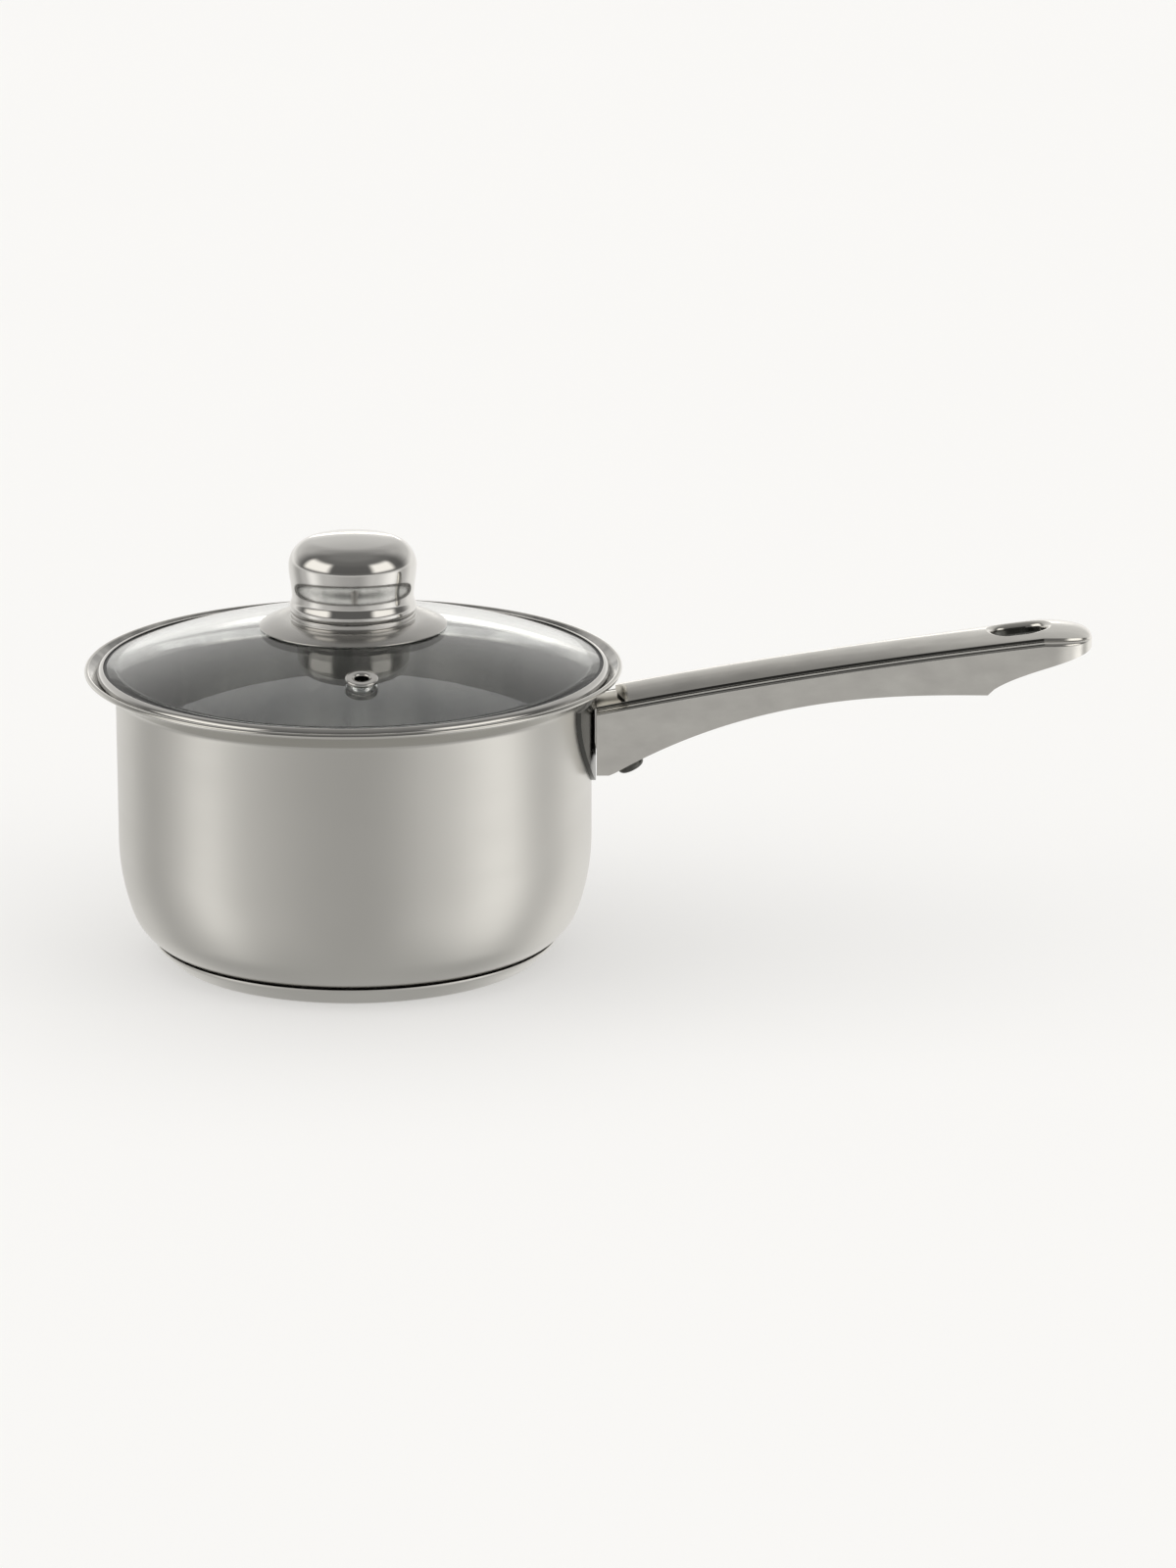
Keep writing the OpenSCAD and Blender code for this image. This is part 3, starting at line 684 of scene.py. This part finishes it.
def inside_handle(centre, normal):
    """The faces under the handle's sheet and down inside its slot, which get painted shade."""
    x, y = centre.x, abs(centre.y)
    if x > TIP_X:
        return False
    w, c, rise, wc = crown(x, 1)
    if y < wc:
        return centre.z < crown_top(x, y) - 1.7 or normal.z < -0.5
    return y < w - 0.6 and centre.z < c - rise - 1.5


def on_handle_lines(centre, normal):
    """The narrow step beside the crown and the upper turn of the side wall, painted as dark lines of shade
    and reflection.
    """
    x, y = centre.x, abs(centre.y)
    if x > TIP_X or x < HANDLE_X0 + 0.5:
        return False
    w, c, rise, wc = crown(x, 1)
    step = wc - 0.3 < y < wc + 0.7 and abs(normal.y) > 0.85
    turn = y > w - 1.35 and 0.45 < normal.z < 0.85
    return (step or turn) and centre.z > c - rise - 2.4


# ------------------------------------------------------------------ the pieces
pan = piece(pan_shell(), "pan", "pan_steel", wall_steel, "pan_body")
# Painted reflection: the pan's inside gets a dark streaked tone in place of bright steel
finish_faces(pan, inner_steel_painted_reflection, on_inside)
finish_faces(pan, bottom_steel, on_bottom)
# The groove beside the lid is painted near-black as a dark reflection
finish_faces(pan, groove_painted_reflection, in_groove)
finish_faces(pan, lip_steel, on_lip)
piece(base_cap_shell(), "pan", "pan_steel", cap_steel, "base_cap")
skin = piece(handle_skin(), "pan", "handle_steel", handle_steel, "handle_shell")
# Painted shade: the handle's underside, its slot and the lines beside its crown get the dark shaded steel
finish_faces(skin, shade_steel, inside_handle)
finish_faces(skin, shade_steel, on_handle_lines)
dome = piece(glass_dome(), "lid", "clear_glass", clear_glass, "lid_glass")
# The glass's outer edge gets the seal's black as a painted shade line
finish_faces(dome, rubber_and_painted_shade, on_glass_rim)
piece(band_ring(), "lid", "polished_steel", mirror_steel, "lid_band")
piece(eyelet(), "lid", "polished_steel", mirror_steel, "vent_eyelet")
piece(knob_skirt_disc(), "lid", "polished_steel", satin_steel, "knob_skirt")
piece(knob_cap_shell(), "lid", "polished_steel", mirror_steel, "knob_cap")

# The shield and the screw get the dark shaded steel: painted reflection and shade, not their own bright steel
cad_finish = {
    "base_disc": core_metal, "handle_shield": shade_steel, "handle_tongue": handle_steel,
    "clamp_plate": plain_steel, "clamp_nut": plain_steel, "handle_screw": shade_steel,
    "vent_washer": plain_steel, "knob_seal_upper": rubber_and_painted_shade, "knob_seal_lower": rubber_and_painted_shade,
    "knob_washer": plain_steel, "knob_base_plate": plain_steel, "knob_bush": plain_steel,
    "knob_screw": plain_steel,
}
for name, finish in cad_finish.items():
    obj = nodes[name]
    if not obj.data.materials:
        obj.data.materials.append(finish)
    for socket in obj.material_slots:
        socket.material = finish


# ------------------------------------------------------------------ floor, light and camera
def floor():
    """A plain pale floor that glows a little."""
    bm = bmesh.new()
    reach = 12000
    bmesh.ops.create_grid(bm, x_segments=4, y_segments=4, size=reach)
    obj = finish_mesh("floor", bm)
    m, tree, shader, place = material("pale_floor")
    grain = stretched_noise(tree, place, (2, 2, 2), 1, 2)
    tone = tint(tree, grain, (0.45, 0.448, 0.442), (0.455, 0.452, 0.446))
    tree.links.new(tone, shader.inputs["Base Color"])
    # The floor's own glow keeps the object's shadow faint
    shader.inputs["Emission Color"].default_value = (1, 0.991, 0.975, 1)
    shader.inputs["Emission Strength"].default_value = 0.44
    shader.inputs["Roughness"].default_value = 0.9
    shader.inputs["Specular IOR Level"].default_value = 0.1
    obj.data.materials.append(m)
    obj.visible_glossy = False


def ramp(tree, value, stops):
    """A smooth grey ramp through (position, brightness) stops."""
    node = tree.nodes.new("ShaderNodeValToRGB")
    node.color_ramp.interpolation = "EASE"
    while len(node.color_ramp.elements) < len(stops):
        node.color_ramp.elements.new(0.5)
    for element, (position, level) in zip(node.color_ramp.elements, stops):
        element.position = position
        element.color = (level, level * 0.985, level * 0.955, 1)
    tree.links.new(value, node.inputs["Fac"])
    return node.outputs["Color"]


def maths(tree, operation, a, b=None):
    node = tree.nodes.new("ShaderNodeMath")
    node.operation = operation
    for socket, value in zip(node.inputs, (a, b)):
        if value is None:
            continue
        if isinstance(value, (int, float)):
            socket.default_value = value
        else:
            tree.links.new(value, socket)
    return node.outputs[0]


def vector_maths(tree, operation, *values):
    node = tree.nodes.new("ShaderNodeVectorMath")
    node.operation = operation
    for socket, value in zip(node.inputs, values):
        if isinstance(value, tuple):
            socket.default_value = value
        else:
            tree.links.new(value, socket)
    return node.outputs[0]


def colour(tree, tone):
    node = tree.nodes.new("ShaderNodeRGB")
    node.outputs["Color"].default_value = (*tone, 1)
    return node.outputs["Color"]


def mixed(tree, factor, a, b):
    node = tree.nodes.new("ShaderNodeMix")
    node.data_type = "RGBA"
    for socket, value in (("Factor", factor), ("A", a), ("B", b)):
        tree.links.new(value, node.inputs[socket])
    return node.outputs["Result"]


def studio():
    """Soft surroundings: a table that is bright and dim in turn round the object, under a dimmer room."""
    world = bpy.data.worlds.new("studio")
    bpy.context.scene.world = world
    world.use_nodes = True
    tree = world.node_tree
    tree.nodes.clear()
    direction = tree.nodes.new("ShaderNodeTexCoord").outputs["Generated"]
    parts = tree.nodes.new("ShaderNodeSeparateXYZ")
    tree.links.new(direction, parts.inputs[0])
    x, y, z = parts.outputs
    # Turn round the object: 0.5 in front, 0 and 1 behind, growing to the right
    turn = maths(tree, "ARCTAN2", x, maths(tree, "MULTIPLY", y, -1))
    turn = maths(tree, "ADD", maths(tree, "DIVIDE", turn, 2 * pi), 0.5)
    height = maths(tree, "ADD", maths(tree, "MULTIPLY", z, 0.5), 0.5)

    def by_turn(*stops):
        """Brightness by (degrees round the object, level)."""
        return ramp(tree, turn, [(0.5 + angle / 360, level) for angle, level in stops])

    def by_height(*stops):
        """Brightness by (degrees above the horizon, level)."""
        return ramp(tree, height, [(0.5 + 0.5 * sin(radians(angle)), level) for angle, level in stops])

    def panel(middle, half, edge):
        """A soft-edged bright strip of the turn, 1 in the middle."""
        low, high = middle - half, middle + half
        return by_turn((low - edge, 0), (low, 1), (high, 1), (high + edge, 0))

    # Set after the bands of brightness that the pan's wall shows in the reference picture
    table = by_turn((-180, 0.95), (-140, 0.85), (-112, 0.45), (-95, 0.6), (-76, 1.1), (-50, 0.62), (-8, 0.46),
                    (12, 0.43), (42, 0.7), (80, 1.2), (103, 0.55), (135, 0.98), (180, 0.95))
    # The ground near the object, seen from low surfaces, is an even grey
    table = mixed(tree, by_height((-62, 1), (-30, 0)), table, colour(tree, (0.47, 0.465, 0.45)))
    dark = by_height((-90, 0.75), (1, 0.7), (5, 0.16), (14, 0.12), (34, 0.13), (55, 0.17), (75, 0.22),
                     (90, 0.22))
    back = by_height((-90, 1.0), (4, 1.0), (10, 0.85), (16, 0.68), (40, 0.5), (56, 0.36), (76, 0.24),
                     (90, 0.22))
    behind = by_turn((-180, 1), (-140, 1), (-100, 0), (100, 0), (140, 1), (180, 1))
    room = mixed(tree, behind, dark, back)
    result = mixed(tree, by_height((-4, 0), (2, 1)), table, room)
    # Two soft boxes, one on each side, and a bright strip low behind
    sides = by_height((4, 0), (15, 1), (35, 1), (50, 0))
    strip = by_height((5.4, 0), (6.6, 1), (8.2, 1), (9.6, 0))
    centre = by_turn((-180, 1), (-175, 1), (-171, 0), (171, 0), (175, 1), (180, 1))
    for across, along, strength in ((panel(-70, 20, 14), sides, 1.1), (panel(62, 15, 14), sides, 1.1),
                                    (centre, strip, 1.3)):
        patch = vector_maths(tree, "MULTIPLY", across, along)
        result = vector_maths(tree, "MULTIPLY_ADD", patch, (strength, strength, strength), result)
    # What the lens sees past the floor's edge is the same pale tone as the floor
    to_lens = tree.nodes.new("ShaderNodeLightPath").outputs["Is Camera Ray"]
    seen = mixed(tree, to_lens, result, colour(tree, (0.947, 0.938, 0.921)))
    background = tree.nodes.new("ShaderNodeBackground")
    tree.links.new(seen, background.inputs["Color"])
    output = tree.nodes.new("ShaderNodeOutputWorld")
    tree.links.new(background.outputs["Background"], output.inputs["Surface"])


def lights():
    """A very soft light from above."""
    sun = bpy.data.lights.new("overhead", "SUN")
    sun.energy = 2.3
    sun.angle = radians(120)
    obj = bpy.data.objects.new("overhead", sun)
    obj.rotation_euler = (radians(8), 0, 0)
    obj.visible_glossy = False
    bpy.context.scene.collection.objects.link(obj)


def camera():
    """A long lens about two metres away, looking down by about 16 degrees."""
    pitch = 15.9126
    data = bpy.data.cameras.new("camera")
    data.lens = 135
    data.sensor_width = 36
    obj = bpy.data.objects.new("camera", data)
    obj.location = (0.079292, -1.924568, 0.606770)
    obj.rotation_euler = (radians(90 - pitch), 0, 0)
    bpy.context.scene.collection.objects.link(obj)
    bpy.context.scene.camera = obj


floor()
studio()
lights()
camera()
bpy.context.scene.view_settings.view_transform = "Standard"

bpy.context.view_layer.update()
